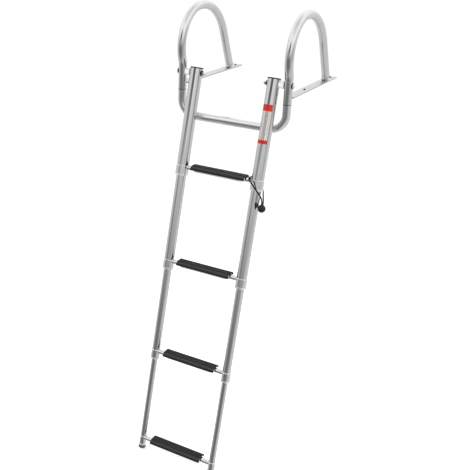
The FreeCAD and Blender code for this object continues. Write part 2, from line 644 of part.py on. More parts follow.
def rounded(points):
    """Straight runs joined by tangent arcs, each as large as its runs allow."""
    edges = []
    here = points[0]
    for a, p, c in zip(points[:-2], points[1:-1], points[2:]):
        u, w = (a - p), (c - p)
        lu, lw = u.Length, w.Length
        u.normalize()
        w.normalize()
        half_turn = (math.pi - math.acos(max(-1, min(1, u.dot(w))))) / 2
        back = 0.45 * min(lu, lw)
        r = back / math.tan(half_turn)
        p1, p2 = p + u * back, p + w * back
        mid = p + (u + w).normalize() * (r / math.cos(half_turn) - r)
        edges.append(Part.LineSegment(here, p1).toShape())
        edges.append(Part.Arc(p1, mid, p2).toShape())
        print("cord turn %.0f deg radius %.1f mm run %.1f mm" % (math.degrees(2 * half_turn), r, lu))
        here = p2
    edges.append(Part.LineSegment(here, points[-1]).toShape())
    return Part.Wire(edges)


pts = [V(half.v + x, y, -s) for x, y, s in LOOP]
wire = rounded(pts)
start = Part.Wire([Part.Circle(pts[0], pts[1] - pts[0], S.cord_d.v / 2).toShape()])
tube = wire.makePipeShell([start], True, True)
print("cord length %.1f mm, volume %.0f, section times length %.0f" % (
    wire.Length, tube.Volume, math.pi * S.cord_d.v ** 2 / 4 * wire.Length))
cord = doc.addObject("Part::Feature", "bungee_cord")
cord.Shape = tube
keep(cord, "bungee_cord", LADDER)
sphere = doc.addObject("Part::Sphere", "ball_sphere")
bind(sphere, Radius=S.ball_d / 2)
top = cylinder("ball_top", S.ball_d, S.ball_d, at(0, 0, S.ball_d.v / 2 - S.ball_flat.v))
keep(cut("bungee_ball", sphere, top), "bungee_ball", LADDER * at(half.v + BALL[0], BALL[1], -BALL[2]))

# checks
doc.recompute()
bad = []
for o in doc.Objects:
    if "Invalid" in o.State or "Error" in o.State:
        bad.append("%s (%s): %s" % (o.Name, o.TypeId, o.State))
for o in NODES:
    s = o.Shape
    if s.isNull() or not s.isValid() or not s.Solids:
        bad.append("%s: no valid solid" % o.Label)
    elif len(s.Solids) != 1:
        bad.append("%s: %d solids" % (o.Label, len(s.Solids)))
if bad:
    raise SystemExit("failed objects:\n" + "\n".join(bad))

print("lean %.4f deg, rail_x %.4f mm, pivot %s" % (lean, rail_x.v, PIVOT))
os.makedirs("parts", exist_ok=True)
for o in NODES:
    o.Shape.exportStep("parts/%s.step" % o.Label)
    bb = o.Shape.BoundBox
    print("%-18s vol %9.0f  x %7.1f %7.1f  y %7.1f %7.1f  z %8.1f %8.1f" % (
        o.Label, o.Shape.Volume, bb.XMin, bb.XMax, bb.YMin, bb.YMax, bb.ZMin, bb.ZMax))
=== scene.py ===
# %% [markdown]
# # A folding boat ladder in polished stainless tube
#
# The ladder hangs over the side of a boat. Two bent handrails stand on flat
# strips screwed to the deck, a cross tube joins them, and four nested pairs of
# stiles slide out of each other below. The CAD model brings every tube, step
# and bolt at its real place. This script gives them their finishes and adds
# what is too small or too soft for CAD: welds and rims, small bolts, a plain
# sticker, the elastic cord that holds the folded ladder shut, and black rings
# and domes as painted shade in the joints, round the bolts and in the screw holes.

# %% Load the CAD frame
import json
import math

import bpy
from mathutils import Matrix, Quaternion, Vector


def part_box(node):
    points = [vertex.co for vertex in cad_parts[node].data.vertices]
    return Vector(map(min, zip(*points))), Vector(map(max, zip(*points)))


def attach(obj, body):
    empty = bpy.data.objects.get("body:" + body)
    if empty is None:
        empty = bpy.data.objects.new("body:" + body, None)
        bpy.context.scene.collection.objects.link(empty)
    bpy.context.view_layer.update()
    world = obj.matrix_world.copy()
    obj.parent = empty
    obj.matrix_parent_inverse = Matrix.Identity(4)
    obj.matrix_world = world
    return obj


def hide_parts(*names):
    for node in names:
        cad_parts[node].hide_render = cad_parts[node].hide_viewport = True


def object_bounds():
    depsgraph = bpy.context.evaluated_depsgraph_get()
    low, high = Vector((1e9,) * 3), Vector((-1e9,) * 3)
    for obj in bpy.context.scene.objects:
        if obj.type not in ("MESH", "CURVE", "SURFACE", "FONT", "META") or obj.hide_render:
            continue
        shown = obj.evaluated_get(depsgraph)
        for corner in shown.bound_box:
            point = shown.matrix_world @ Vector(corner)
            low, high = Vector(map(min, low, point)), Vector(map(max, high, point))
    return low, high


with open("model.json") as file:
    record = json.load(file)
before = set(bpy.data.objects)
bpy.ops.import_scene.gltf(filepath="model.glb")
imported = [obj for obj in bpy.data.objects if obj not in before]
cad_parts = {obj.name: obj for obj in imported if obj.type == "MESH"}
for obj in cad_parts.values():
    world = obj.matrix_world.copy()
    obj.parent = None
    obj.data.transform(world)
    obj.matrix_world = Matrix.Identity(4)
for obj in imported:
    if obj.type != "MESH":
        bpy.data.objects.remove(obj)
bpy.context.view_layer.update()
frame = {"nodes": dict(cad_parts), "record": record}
joints = {j["name"]: j for j in frame["record"]["behaviour"]["joints"]}

# %% [markdown]
# ## The ladder's own directions
#
# The stiles lean, because they rest on the cross tube below their pivots. A
# piece that sits on a stile is easiest to place by three numbers: how far to
# the right, how far inboard and how far down the stile. The joints of the
# record already hold the pivot and the direction of the slides, so both are
# read from there instead of being typed again.

# %% Directions and places on a stile
PIVOT = Vector(joints["ladder_swing"]["pos_m"])
UP_STILE = Vector(joints["section_2_slide"]["axis"]).normalized()
RIGHT = Vector((1, 0, 0))
INBOARD = UP_STILE.cross(RIGHT)
LEAN = math.atan2(UP_STILE.y, UP_STILE.z)


def middle_x(node):
    low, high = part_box(node)
    return (low[0] + high[0]) / 2


STILE_X = {"left": middle_x("stile_1_left"), "right": middle_x("stile_1_right")}


def on_stile(side, across, inboard, down):
    """Point beside a stile's centre line, in metres from the pivot downwards."""
    start = Vector((STILE_X[side], PIVOT.y, PIVOT.z))
    return start + RIGHT * across + INBOARD * inboard - UP_STILE * down


print("lean %.2f deg" % math.degrees(LEAN), "stiles at", STILE_X)

# %% [markdown]
# ## Camera
#
# A product photograph of something this tall is taken from several metres away
# with a longish lens, a little from the right and from above. A camera can be
# set by eye, but stating where it looks, from which side, how high and how far
# makes it easy to read and to change. A small roll and a small lens shift finish
# the framing.

# %% Camera
LOOKS_AT = Vector((-0.2155, -0.2000, -0.4026))
FROM_RIGHT, FROM_ABOVE, ROLL = 26.61, 21.69, 2.50      # degrees
DISTANCE = 2.3045
LENS_MM, SENSOR_MM = 55.15, 36.0
SHIFT_X, SHIFT_Y = 0.0416, -0.0459

az, el = math.radians(FROM_RIGHT), math.radians(FROM_ABOVE)
backwards = Vector((math.sin(az) * math.cos(el), -math.cos(az) * math.cos(el), math.sin(el)))
camera_data = bpy.data.cameras.new("camera")
camera_data.lens = LENS_MM
camera_data.sensor_width = SENSOR_MM
camera_data.shift_x = SHIFT_X
camera_data.shift_y = SHIFT_Y
camera = bpy.data.objects.new("camera", camera_data)
bpy.context.scene.collection.objects.link(camera)
camera.location = LOOKS_AT + backwards * DISTANCE
camera.rotation_mode = "QUATERNION"
roll = Quaternion((0, 0, 1), math.radians(ROLL))
camera.rotation_quaternion = backwards.to_track_quat("Z", "Y") @ roll
bpy.context.scene.camera = camera
print("camera at", [round(v, 3) for v in camera.location])

# %% [markdown]
# ## Elastic cord
#
# A thin elastic cord with a ball keeps the folded sections together. With the
# ladder out it hangs on the right end of the top step: both ends go into the
# ball, and the loop runs round the tube. A cord is best drawn as one smooth
# curve. A NURBS spline of order 3 rounds each corner between its control points
# by itself, so thirteen listed points are enough. Each point, like the
# ball's centre, says how far it lies across, inboard and down the right stile.

# %% Cord
CORD_D, BALL_D = 0.004, 0.024
CORD_LENGTH = 0.2647                    # along the loop, measured on the CAD solid
BALL = (0.035, -0.022, 0.360)
LOOP = [
    (0.0328, -0.0220, 0.3490), (0.0328, -0.0220, 0.3350), (0.0225, -0.0285, 0.3200),
    (0.0090, -0.0315, 0.3060), (-0.0060, -0.0310, 0.2920), (-0.0245, -0.0180, 0.2813),
    (-0.0250, 0.0155, 0.2751), (-0.0210, 0.0310, 0.2820), (0.0000, 0.0360, 0.2960),
    (0.0128, 0.0250, 0.3137), (0.0300, -0.0135, 0.3239), (0.0362, -0.0201, 0.3382),
    (0.0372, -0.0220, 0.3490),
]
cord_curve = bpy.data.curves.new("elastic_cord", "CURVE")
cord_curve.dimensions = "3D"
cord_curve.bevel_depth = CORD_D / 2
cord_curve.bevel_resolution = 6
cord_curve.resolution_u = 16
cord_curve.use_fill_caps = True
spline = cord_curve.splines.new("NURBS")
spline.points.add(len(LOOP) - 1)
for point, place in zip(spline.points, LOOP):
    point.co = (*on_stile("right", *place), 1.0)
spline.order_u = 3
spline.use_endpoint_u = True
cord = bpy.data.objects.new("elastic_cord", cord_curve)
bpy.context.scene.collection.objects.link(cord)
print("cord points", len(LOOP))

# %% [markdown]
# ## Modelling helpers
#
# The operators of Blender work on whatever is selected. Each piece therefore
# starts by clearing the selection, and ends by moving its place into its mesh,
# so that its object sits at the origin like every CAD piece.

# %% Helpers
def nothing_selected():
    if bpy.context.mode != "OBJECT":
        bpy.ops.object.mode_set(mode="OBJECT")
    bpy.ops.object.select_all(action="DESELECT")


def only(obj):
    nothing_selected()
    obj.select_set(True)
    bpy.context.view_layer.objects.active = obj


def edit(obj, mode):
    """Edit mode with nothing selected, ready to pick verts, edges or faces."""
    only(obj)
    bpy.ops.object.mode_set(mode="EDIT")
    bpy.ops.mesh.select_mode(type=mode)
    bpy.ops.mesh.select_all(action="DESELECT")
    bpy.ops.object.mode_set(mode="OBJECT")


def work(obj):
    bpy.context.view_layer.objects.active = obj
    bpy.ops.object.mode_set(mode="EDIT")


def done():
    bpy.ops.object.mode_set(mode="OBJECT")


def settle(obj, name, matrix, angle=40):
    """Carries a piece to its place, writes the place into the mesh, names it."""
    only(obj)
    obj.matrix_world = matrix @ obj.matrix_world
    bpy.ops.object.transform_apply(location=True, rotation=True, scale=True)
    bpy.ops.object.shade_smooth_by_angle(angle=math.radians(angle))
    obj.name = obj.data.name = name
    return obj


def stile_matrix(side, across, inboard, down):
    """Local X right, Y inboard, Z up the stile."""
    leaning = Matrix.Rotation(-LEAN, 4, "X")
    return Matrix.Translation(on_stile(side, across, inboard, down)) @ leaning


print("helpers ready")

# %% [markdown]
# ## Ball on the cord
#
# The ball is moulded in one piece with a hole through which both ends of the
# cord go up. A sphere is a good start: its top is cut off and the open rim is
# pulled down inside, which makes the hole with a rounded edge.

# %% Ball
CUT_HEIGHT = 0.93                       # where the top is cut off, a share of the radius
EDGE_DROP, EDGE_SHARE = 0.0008, 0.9     # the hole's edge: how far down, how much narrower
HOLE_DEPTH = 0.006
nothing_selected()
bpy.ops.mesh.primitive_uv_sphere_add(segments=48, ring_count=32, radius=BALL_D / 2)
ball = bpy.context.active_object
edit(ball, "VERT")
for v in ball.data.vertices:
    v.select = v.co.z > BALL_D / 2 * CUT_HEIGHT
work(ball)
bpy.ops.mesh.delete(type="VERT")
bpy.ops.mesh.select_mode(type="EDGE")
bpy.ops.mesh.select_non_manifold()
bpy.ops.mesh.extrude_region_move(TRANSFORM_OT_translate={"value": (0, 0, -EDGE_DROP)})
bpy.ops.transform.resize(value=(EDGE_SHARE, EDGE_SHARE, 1))
bpy.ops.mesh.extrude_region_move(TRANSFORM_OT_translate={"value": (0, 0, -HOLE_DEPTH)})
bpy.ops.mesh.edge_face_add()
done()
ball = settle(ball, "cord_ball", stile_matrix("right", *BALL))
print("ball", len(ball.data.polygons), "faces")

# %% [markdown]
# ## Tail of the cord
#
# One end of the cord comes out of its knot beside the ball and hangs down, with
# a moulded sleeve that keeps the braid from fraying. It is a small circle that
# is extruded downwards ring by ring, and each ring is widened or narrowed.

# %% Tail
TAIL_TOP = on_stile("right", 0.0262, -0.0285, 0.3285)
TAIL_END = on_stile("right", 0.0226, -0.0305, 0.3588)
TAIL_RINGS = [(0.45, 0.0013), (0.56, 0.0013), (0.60, 0.0024), (0.66, 0.0028),
              (0.90, 0.0028), (0.97, 0.0023), (1.0, 0.0012)]


def ring_by_ring(rings, length):
    """Round bar down -Z through rings of (share of the length, radius)."""
    nothing_selected()
    bpy.ops.mesh.primitive_circle_add(vertices=20, radius=rings[0][1], fill_type="NGON")
    bar = bpy.context.active_object
    bpy.ops.object.mode_set(mode="EDIT")
    share, radius = 0.0, rings[0][1]
    for next_share, next_radius in rings:
        bpy.ops.mesh.extrude_region_move(
            TRANSFORM_OT_translate={"value": (0, 0, -(next_share - share) * length)})
        bpy.ops.transform.resize(value=(next_radius / radius, next_radius / radius, 1))
        share, radius = next_share, next_radius
    bpy.ops.mesh.select_all(action="SELECT")
    bpy.ops.mesh.normals_make_consistent(inside=False)
    done()
    return bar


tail_run = TAIL_END - TAIL_TOP
tail = ring_by_ring(TAIL_RINGS, tail_run.length)
tail_turn = (-tail_run).to_track_quat("Z", "Y").to_matrix().to_4x4()
tail = settle(tail, "cord_tail", Matrix.Translation(TAIL_TOP) @ tail_turn)
print("tail", round(tail_run.length * 1000, 1), "mm")

# %% [markdown]
# ## Welds at the step ends
#
# Each step tube is welded to the ring round the stile. The weld shows as a
# bright rounded bead where the two meet. A torus is bent onto the ring: a
# point of it that lies further to the front or back sits further round the
# ring, so it moves along the tube by the depth of the ring's curve there.

# %% Welds
WELD_R = 0.0013
FIRST_STEP, STEP_PITCH = 0.287, 0.300   # down the stile from the pivot
STEP_DOWN = [FIRST_STEP + STEP_PITCH * i for i in range(4)]
RING_R = [0.02015, 0.016975, 0.0138, 0.010625]
END_DEPTH, END_HEIGHT = 0.0172, 0.0132  # the end of a step tube
ON_RING = 0.93                          # a bead stays within this share of its ring's radius
TORUS_R = 0.01                          # the torus before it is stretched to the tube's end


def weld_bead(n, side, sign):
    """Bead round the end of step n on one ring."""
    nothing_selected()
    bpy.ops.mesh.primitive_torus_add(
        major_segments=64, minor_segments=12, major_radius=TORUS_R, minor_radius=WELD_R,
        rotation=(0, math.radians(90), 0))
    bead = bpy.context.active_object
    bpy.ops.object.transform_apply(rotation=True)
    ring = RING_R[n - 1]
    depth = min(END_DEPTH / 2, ring * ON_RING)
    for v in bead.data.vertices:
        v.co.y *= depth / TORUS_R
        v.co.z *= END_HEIGHT / 2 / TORUS_R
        v.co.x += -sign * math.sqrt(max(ring ** 2 - min(abs(v.co.y), ring) ** 2, 0))
    place = Matrix.Translation(on_stile(side, 0, 0, STEP_DOWN[n - 1]))
    return settle(bead, "weld_%d_%s" % (n, side), place, angle=60)


welds = {}
for n in range(1, 5):
    for side, sign in (("left", -1), ("right", 1)):
        welds[n, side] = weld_bead(n, side, sign)
print(len(welds), "welds")

# %% [markdown]
# ## Rolled rims of the rings
#
# The rings at the step ends have rolled rims at the top, and above and below
# the lip at the bottom. Each rim catches a thin line of light all round the
# tube, and its steel is painted brighter than the ring's as a painted highlight.
# A slim torus is the shape of such a rim, so it only has to be flattened
# a little and slid down the stile to its edge.

# %% Rims
RIM_R = 0.0011
RIM_SUNK, RIM_FLAT = 0.6, 0.8           # share of RIM_R inside the ring, height to width
RIM_DOWN = {"top": -0.0036, "lip": 0.0222, "bottom": 0.0256}
LIP_OUT = {"top": 0.0, "lip": 0.0004, "bottom": 0.0006}


def ring_rim(n, side, edge):
    middle_r = RING_R[n - 1] + LIP_OUT[edge] - RIM_R * RIM_SUNK
    nothing_selected()
    bpy.ops.mesh.primitive_torus_add(
        major_segments=72, minor_segments=12, major_radius=middle_r, minor_radius=RIM_R)
    rim = bpy.context.active_object
    bpy.ops.transform.resize(value=(1, 1, RIM_FLAT))
    place = stile_matrix(side, 0, 0, STEP_DOWN[n - 1] + RIM_DOWN[edge])
    return settle(rim, "ring_rim_%d_%s_%s" % (n, side, edge), place, angle=60)


rims = {(n, side, edge): ring_rim(n, side, edge)
        for n in range(1, 5) for side in ("left", "right") for edge in RIM_DOWN}
print(len(rims), "rims")

# %% [markdown]
# ## Painted shade in the handrail joints
#
# The cross tube is pushed into each front leg over a sleeve. A thin black ring
# fills the groove between the two tubes as painted shade, and shows as one fine
# dark line round the leg. A short open cylinder is enough to start from: a
# Solidify modifier gives it its wall, and a Bevel its rounded edge.

# %% Joint shade rings
JOINT_DOWN = 0.0545
JOINT_SHADE_R, JOINT_SHADE_HEIGHT = 0.0129, 0.0017
JOINT_SHADE_WALL, JOINT_SHADE_ROUND = 0.0016, 0.0004
joint_shade_rings = []
# Each ring is black and stands for the shade in the joint's groove.
for side in ("left", "right"):
    nothing_selected()
    bpy.ops.mesh.primitive_cylinder_add(
        vertices=72, radius=JOINT_SHADE_R, depth=JOINT_SHADE_HEIGHT, end_fill_type="NOTHING",
        location=(middle_x("handrail_" + side), PIVOT.y, PIVOT.z - JOINT_DOWN))
    shade_piece = bpy.context.active_object
    wall = shade_piece.modifiers.new("wall", "SOLIDIFY")
    wall.thickness = JOINT_SHADE_WALL
    bpy.ops.object.modifier_apply(modifier="wall")
    rounding = shade_piece.modifiers.new("rounding", "BEVEL")
    rounding.width = JOINT_SHADE_ROUND
    rounding.segments = 3
    bpy.ops.object.modifier_apply(modifier="rounding")
    joint_shade_rings.append(settle(shade_piece, "joint_shade_ring_" + side, Matrix.Identity(4)))
print([shade_piece.name for shade_piece in joint_shade_rings])

# %% [markdown]
# ## Bolts on the rear feet
#
# The rear leg of each handrail stands on a foot that a bolt holds to the deck
# strip. Its domed head shows on the outboard side, over a black domed ring that
# stands for the shade round the head. A short cylinder is turned into a dome by
# insetting its outer face and pushing it out, and a bevel rounds the steps away.

# %% Domed heads
SKIRT, RISE = 0.35, 0.32                # straight part and each step up, shares of the height
INSETS = (0.22, 0.3)                    # shares of the radius
HEAD_ROUND, HEAD_ANGLE = 0.12, 15       # share of the radius, degrees


def domed_head(radius, height):
    """Domed bolt head along +X with its seat at x = 0."""
    skirt = height * SKIRT
    nothing_selected()
    bpy.ops.mesh.primitive_cylinder_add(
        vertices=40, radius=radius, depth=skirt, location=(skirt / 2, 0, 0),
        rotation=(0, math.radians(90), 0))
    head = bpy.context.active_object
    bpy.ops.object.transform_apply(location=True, rotation=True)
    for inset in INSETS:
        edit(head, "FACE")
        outer = max(head.data.polygons, key=lambda f: f.center.x)
        outer.select = True
        work(head)
        bpy.ops.mesh.inset(thickness=radius * inset)
        bpy.ops.transform.translate(value=(height * RISE, 0, 0))
        done()
    only(head)
    rounding = head.modifiers.new("rounding", "BEVEL")
    rounding.width = radius * HEAD_ROUND
    rounding.segments = 4
    rounding.limit_method = "ANGLE"
    rounding.angle_limit = math.radians(HEAD_ANGLE)
    bpy.ops.object.modifier_apply(modifier="rounding")
    return head


print("heads rise", RISE, "of their height at each step")

# %% Foot bolts
LEG_END, BOSS_OUT = 0.120, 0.0102       # rear leg's end, and from there to the boss's face
HEAD_UP = 0.0052                        # above the deck strip
OFF_CENTRE = {"left": 0.0, "right": -0.0034}
# The washer under each head is black and stands for painted shade round the bolt head.
DARK_RING_SIZE, HEAD_SIZE = (0.0062, 0.0016), (0.0046, 0.0048)      # radius, height
HEAD_SEAT = 0.0010                      # how far out the head sits, on its washer
foot_bolts, foot_shade_rings = [], []
for side in ("left", "right"):
    strip_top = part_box("deck_bar_" + side)[1][2]
    face = Vector((middle_x("rear_foot_" + side) + OFF_CENTRE[side],
                   LEG_END - BOSS_OUT, strip_top + HEAD_UP))
    outboard = Matrix.Translation(face) @ Matrix.Rotation(math.radians(-90), 4, "Z")
    dark_ring = domed_head(*DARK_RING_SIZE)
    foot_shade_rings.append(settle(dark_ring, "foot_shade_ring_" + side, outboard))
    head = domed_head(*HEAD_SIZE)
    on_washer = outboard @ Matrix.Translation((HEAD_SEAT, 0, 0))
    foot_bolts.append(settle(head, "foot_bolt_" + side, on_washer))
print([bolt.name for bolt in foot_bolts])

# %% [markdown]
# ## Painted shade at the pivot bolts
#
# A thick black ring at each end of a pivot bolt stands for the shade between
# the bolt and the polished tube, and shows as a dark line round the bright bolt.
# A circle is extruded inwards to a flat ring, and a Solidify and a Bevel
# modifier give it its thickness and its rounded edge. The ring on the handrail
# stays with it, and the one on the stile turns with the ladder.

# %% Pivot shade rings
DARK_RING_OUT, DARK_RING_THICK = 0.0010, 0.0018
DARK_RING_HOLE, DARK_RING_ROUND = 0.6, 0.0004     # hole as a share of the radius, edge


def half_size(node, axis):
    low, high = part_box(node)
    return (high[axis] - low[axis]) / 2


def pivot_shade_ring(name, radius, seat, facing, place):
    """Flat black ring on the side of a tube, as painted shade; facing is +1 or -1 for its X side.
    """
    nothing_selected()
    bpy.ops.mesh.primitive_circle_add(
        vertices=64, radius=radius, location=(facing * (seat + DARK_RING_THICK / 2), 0, 0),
        rotation=(0, math.radians(90), 0))
    dark_ring = bpy.context.active_object
    bpy.ops.object.transform_apply(location=True, rotation=True)
    work(dark_ring)
    bpy.ops.mesh.select_mode(type="EDGE")
    bpy.ops.mesh.select_all(action="SELECT")
    bpy.ops.mesh.extrude_region_move()
    bpy.ops.transform.resize(value=(1, DARK_RING_HOLE, DARK_RING_HOLE))
    done()
    wall = dark_ring.modifiers.new("wall", "SOLIDIFY")
    wall.thickness = DARK_RING_THICK
    wall.offset = 0.0
    only(dark_ring)
    bpy.ops.object.modifier_apply(modifier="wall")
    work(dark_ring)
    bpy.ops.mesh.select_all(action="SELECT")
    bpy.ops.mesh.normals_make_consistent(inside=False)
    done()
    rounding = dark_ring.modifiers.new("rounding", "BEVEL")
    rounding.width = DARK_RING_ROUND
    rounding.segments = 3
    bpy.ops.object.modifier_apply(modifier="rounding")
    return settle(dark_ring, name, place)


STILE_R = half_size("stile_1_right", 0)
RAIL_R = half_size("cross_bar", 1)
LEG_X = {"left": 2 * PIVOT.x, "right": 0.0}     # the right handrail stands at x = 0
rail_shade_rings, stile_shade_rings = [], []
for side, outwards in (("left", -1), ("right", 1)):
    head_r = half_size("pivot_bolt_" + side, 2)
    nut_r = half_size("pivot_nut_" + side, 2)
    on_leg = Matrix.Translation((LEG_X[side], PIVOT.y, PIVOT.z))
    rail_shade_rings.append(pivot_shade_ring(
        "pivot_shade_ring_outer_" + side, head_r + DARK_RING_OUT, RAIL_R, outwards, on_leg))
    stile_shade_rings.append(pivot_shade_ring(
        "pivot_shade_ring_inner_" + side, nut_r + DARK_RING_OUT, STILE_R, -outwards,
        stile_matrix(side, 0, 0, 0)))
    print(side, "washer radius", round(head_r + DARK_RING_OUT, 4), round(nut_r + DARK_RING_OUT, 4))

# %% [markdown]
# ## Painted shade in the screw holes
#
# Each deck strip has two screw holes. A small black dome sits in each of them
# as painted shade for the hole's dark inside, and shows as a dark spot on the
# bright strip. It is the same dome as the bolt heads, turned upwards.

# %% Hole shades
HOLE_Y = {"front": -0.067, "rear": 0.170}
HOLE_SHADE_R, HOLE_SHADE_HEIGHT, HOLE_SHADE_SUNK = 0.0036, 0.0028, 0.0003
upwards = Matrix.Rotation(math.radians(-90), 4, "Y")
hole_shades = []
for side in ("left", "right"):
    strip_x = middle_x("deck_bar_" + side)
    strip_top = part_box("deck_bar_" + side)[1][2]
    for spot, hole_y in HOLE_Y.items():
        in_hole = Matrix.Translation((strip_x, hole_y, strip_top - HOLE_SHADE_SUNK))
        hole_shade = domed_head(HOLE_SHADE_R, HOLE_SHADE_HEIGHT)
        hole_shades.append(settle(hole_shade, "hole_plug_%s_%s" % (side, spot), in_hole @ upwards))
print([hole_shade.name for hole_shade in hole_shades])

# %% [markdown]
# ## Sticker on the right stile
#
# A clear film with two red bands sits on the front of the upper right stile.
# A film this thin is a strip of the tube's own surface moved out a little: a
# cylinder just larger than the tube, of which only the faces at the front are
# kept.

# %% Sticker
FILM_OUT = 0.00012
HALF_ANGLE = 49                         # degrees to each side of the front
FILM_FROM, FILM_TO = 0.061, 0.175       # down the stile from the pivot
BANDS = {"upper": (0.061, 0.080), "lower": (0.164, 0.175)}


def film(name, down_from, down_to, out):
    """The front of a cylinder that lies this far outside the stile."""
    nothing_selected()
    bpy.ops.mesh.primitive_cylinder_add(
        vertices=144, radius=STILE_R + out, depth=down_to - down_from, end_fill_type="NOTHING")
    strip = bpy.context.active_object
    edit(strip, "FACE")
    for face in strip.data.polygons:
        angle = math.degrees(math.atan2(face.center.x, -face.center.y))
        face.select = abs(angle) > HALF_ANGLE
    work(strip)
    bpy.ops.mesh.delete(type="FACE")
    done()
    middle = stile_matrix("right", 0, 0, (down_from + down_to) / 2)
    return settle(strip, name, middle, angle=30)


sticker = film("sticker_film", FILM_FROM, FILM_TO, FILM_OUT)
red_bands = [film("sticker_band_" + spot, *reach, FILM_OUT * 2) for spot, reach in BANDS.items()]
print("sticker of", 1 + len(red_bands), "strips")

# %% [markdown]
# ## Surface effects that several finishes share
#
# Real tube is never perfectly even. Polishing leaves fine lines along it, and
# hands leave faint marks that only change how sharply it reflects. Such effects
# are built once as node groups with named inputs and outputs, and each material
# places them with its own values.

# %% Node group builder
def node_group(name, inputs, outputs):
    group = bpy.data.node_groups.new(name, "ShaderNodeTree")
    for label, kind, value in inputs:
        socket = group.interface.new_socket(label, in_out="INPUT", socket_type=kind)
        if value is not None:
            socket.default_value = value
    for label, kind in outputs:
        group.interface.new_socket(label, in_out="OUTPUT", socket_type=kind)
    return group, group.nodes.new("NodeGroupInput"), group.nodes.new("NodeGroupOutput")


def add(tree, kind, **settings):
    node = tree.nodes.new(kind)
    for key, value in settings.items():
        setattr(node, key, value)
    return node


def math_node(tree, operation, a, b, clamp=False):
    node = add(tree, "ShaderNodeMath", operation=operation, use_clamp=clamp)
    for socket, value in ((node.inputs[0], a), (node.inputs[1], b)):
        if isinstance(value, (int, float)):
            socket.default_value = value
        else:
            tree.links.new(value, socket)
    return node.outputs[0]


def noise(tree, vector, scale, detail=2.0, roughness=0.5):
    node = add(tree, "ShaderNodeTexNoise")
    node.inputs["Detail"].default_value = detail
    node.inputs["Roughness"].default_value = roughness
    tree.links.new(vector, node.inputs["Vector"])
    if isinstance(scale, (int, float)):
        node.inputs["Scale"].default_value = scale
    else:
        tree.links.new(scale, node.inputs["Scale"])
    return node.outputs["Fac"]


# %% Polishing lines and hand marks
lines_group, g_in, g_out = node_group(
    "polishing_lines",
    [("Vector", "NodeSocketVector", None), ("Scale", "NodeSocketFloat", 900.0),
     ("Along", "NodeSocketVector", (1.0, 1.0, 0.02))],
    [("Height", "NodeSocketFloat"), ("Mask", "NodeSocketFloat")])
squeeze = add(lines_group, "ShaderNodeVectorMath", operation="MULTIPLY")
lines_group.links.new(g_in.outputs["Vector"], squeeze.inputs[0])
lines_group.links.new(g_in.outputs["Along"], squeeze.inputs[1])
fine = noise(lines_group, squeeze.outputs[0], g_in.outputs["Scale"], 3.0, 0.6)
wider = math_node(lines_group, "MULTIPLY", g_in.outputs["Scale"], 0.22)
coarse = noise(lines_group, squeeze.outputs[0], wider, 2.0)
lines_group.links.new(fine, g_out.inputs["Height"])
lines_group.links.new(coarse, g_out.inputs["Mask"])

marks_group, g_in, g_out = node_group(
    "hand_marks", [("Vector", "NodeSocketVector", None), ("Scale", "NodeSocketFloat", 14.0)],
    [("Mask", "NodeSocketFloat")])
wide = noise(marks_group, g_in.outputs["Vector"], g_in.outputs["Scale"], 4.0, 0.6)
finer = math_node(marks_group, "MULTIPLY", g_in.outputs["Scale"], 5.0)
smear = noise(marks_group, g_in.outputs["Vector"], finer, 3.0)
marks_group.links.new(math_node(marks_group, "MULTIPLY", wide, smear), g_out.inputs["Mask"])
print("groups", lines_group.name, marks_group.name)

# %% [markdown]
# Moulded plastic and rubber have a fine even grain from the mould, and a tone
# that is never quite the same from one place to the next.

# %% Moulded grain
grain_group, g_in, g_out = node_group(
    "moulded_grain", [("Vector", "NodeSocketVector", None), ("Scale", "NodeSocketFloat", 1600.0)],
    [("Height", "NodeSocketFloat"), ("Mask", "NodeSocketFloat")])
skin = noise(grain_group, g_in.outputs["Vector"], g_in.outputs["Scale"], 2.0, 0.7)
wider = math_node(grain_group, "MULTIPLY", g_in.outputs["Scale"], 0.03)
patches = noise(grain_group, g_in.outputs["Vector"], wider, 4.0)
grain_group.links.new(skin, g_out.inputs["Height"])
grain_group.links.new(patches, g_out.inputs["Mask"])
print("group", grain_group.name)

# %% [markdown]
# ## Material helpers
#
# Every finish is one Principled shader. Tone and roughness move a little with
# the masks of the groups, and the fine height goes through a Bump node.

# %% Material helpers
def new_material(name, rgb, rough, metallic=0.0, shine=0.5):
    mat = bpy.data.materials.new(name)
    mat.use_nodes = True
    tree = mat.node_tree
    shader = tree.nodes["Principled BSDF"]
    shader.inputs["Base Color"].default_value = (*rgb, 1)
    shader.inputs["Roughness"].default_value = rough
    shader.inputs["Metallic"].default_value = metallic
    shader.inputs["Specular IOR Level"].default_value = shine
    place = add(tree, "ShaderNodeTexCoord").outputs["Object"]
    return mat, tree, shader, place


def use_group(tree, group, vector, **values):
    node = add(tree, "ShaderNodeGroup", node_tree=group)
    tree.links.new(vector, node.inputs["Vector"])
    for key, value in values.items():
        node.inputs[key].default_value = value
    return node


def turned(tree, vector, rotation):
    """Coordinates turned so that Z runs along the tube."""
    node = add(tree, "ShaderNodeMapping", vector_type="POINT")
    node.inputs["Rotation"].default_value = rotation
    tree.links.new(vector, node.inputs["Vector"])
    return node.outputs[0]


def between(tree, mask, low, high, start=0.35, end=0.65):
    node = add(tree, "ShaderNodeMapRange")
    tree.links.new(mask, node.inputs["Value"])
    for label, value in (("From Min", start), ("From Max", end), ("To Min", low), ("To Max", high)):
        node.inputs[label].default_value = value
    return node.outputs[0]


def two_tones(tree, mask, first, second, shader):
    ramp = add(tree, "ShaderNodeValToRGB")
    for stop, position, rgb in zip(ramp.color_ramp.elements, (0.3, 0.7), (first, second)):
        stop.position = position
        stop.color = (*rgb, 1)
    tree.links.new(mask, ramp.inputs["Fac"])
    tree.links.new(ramp.outputs["Color"], shader.inputs["Base Color"])


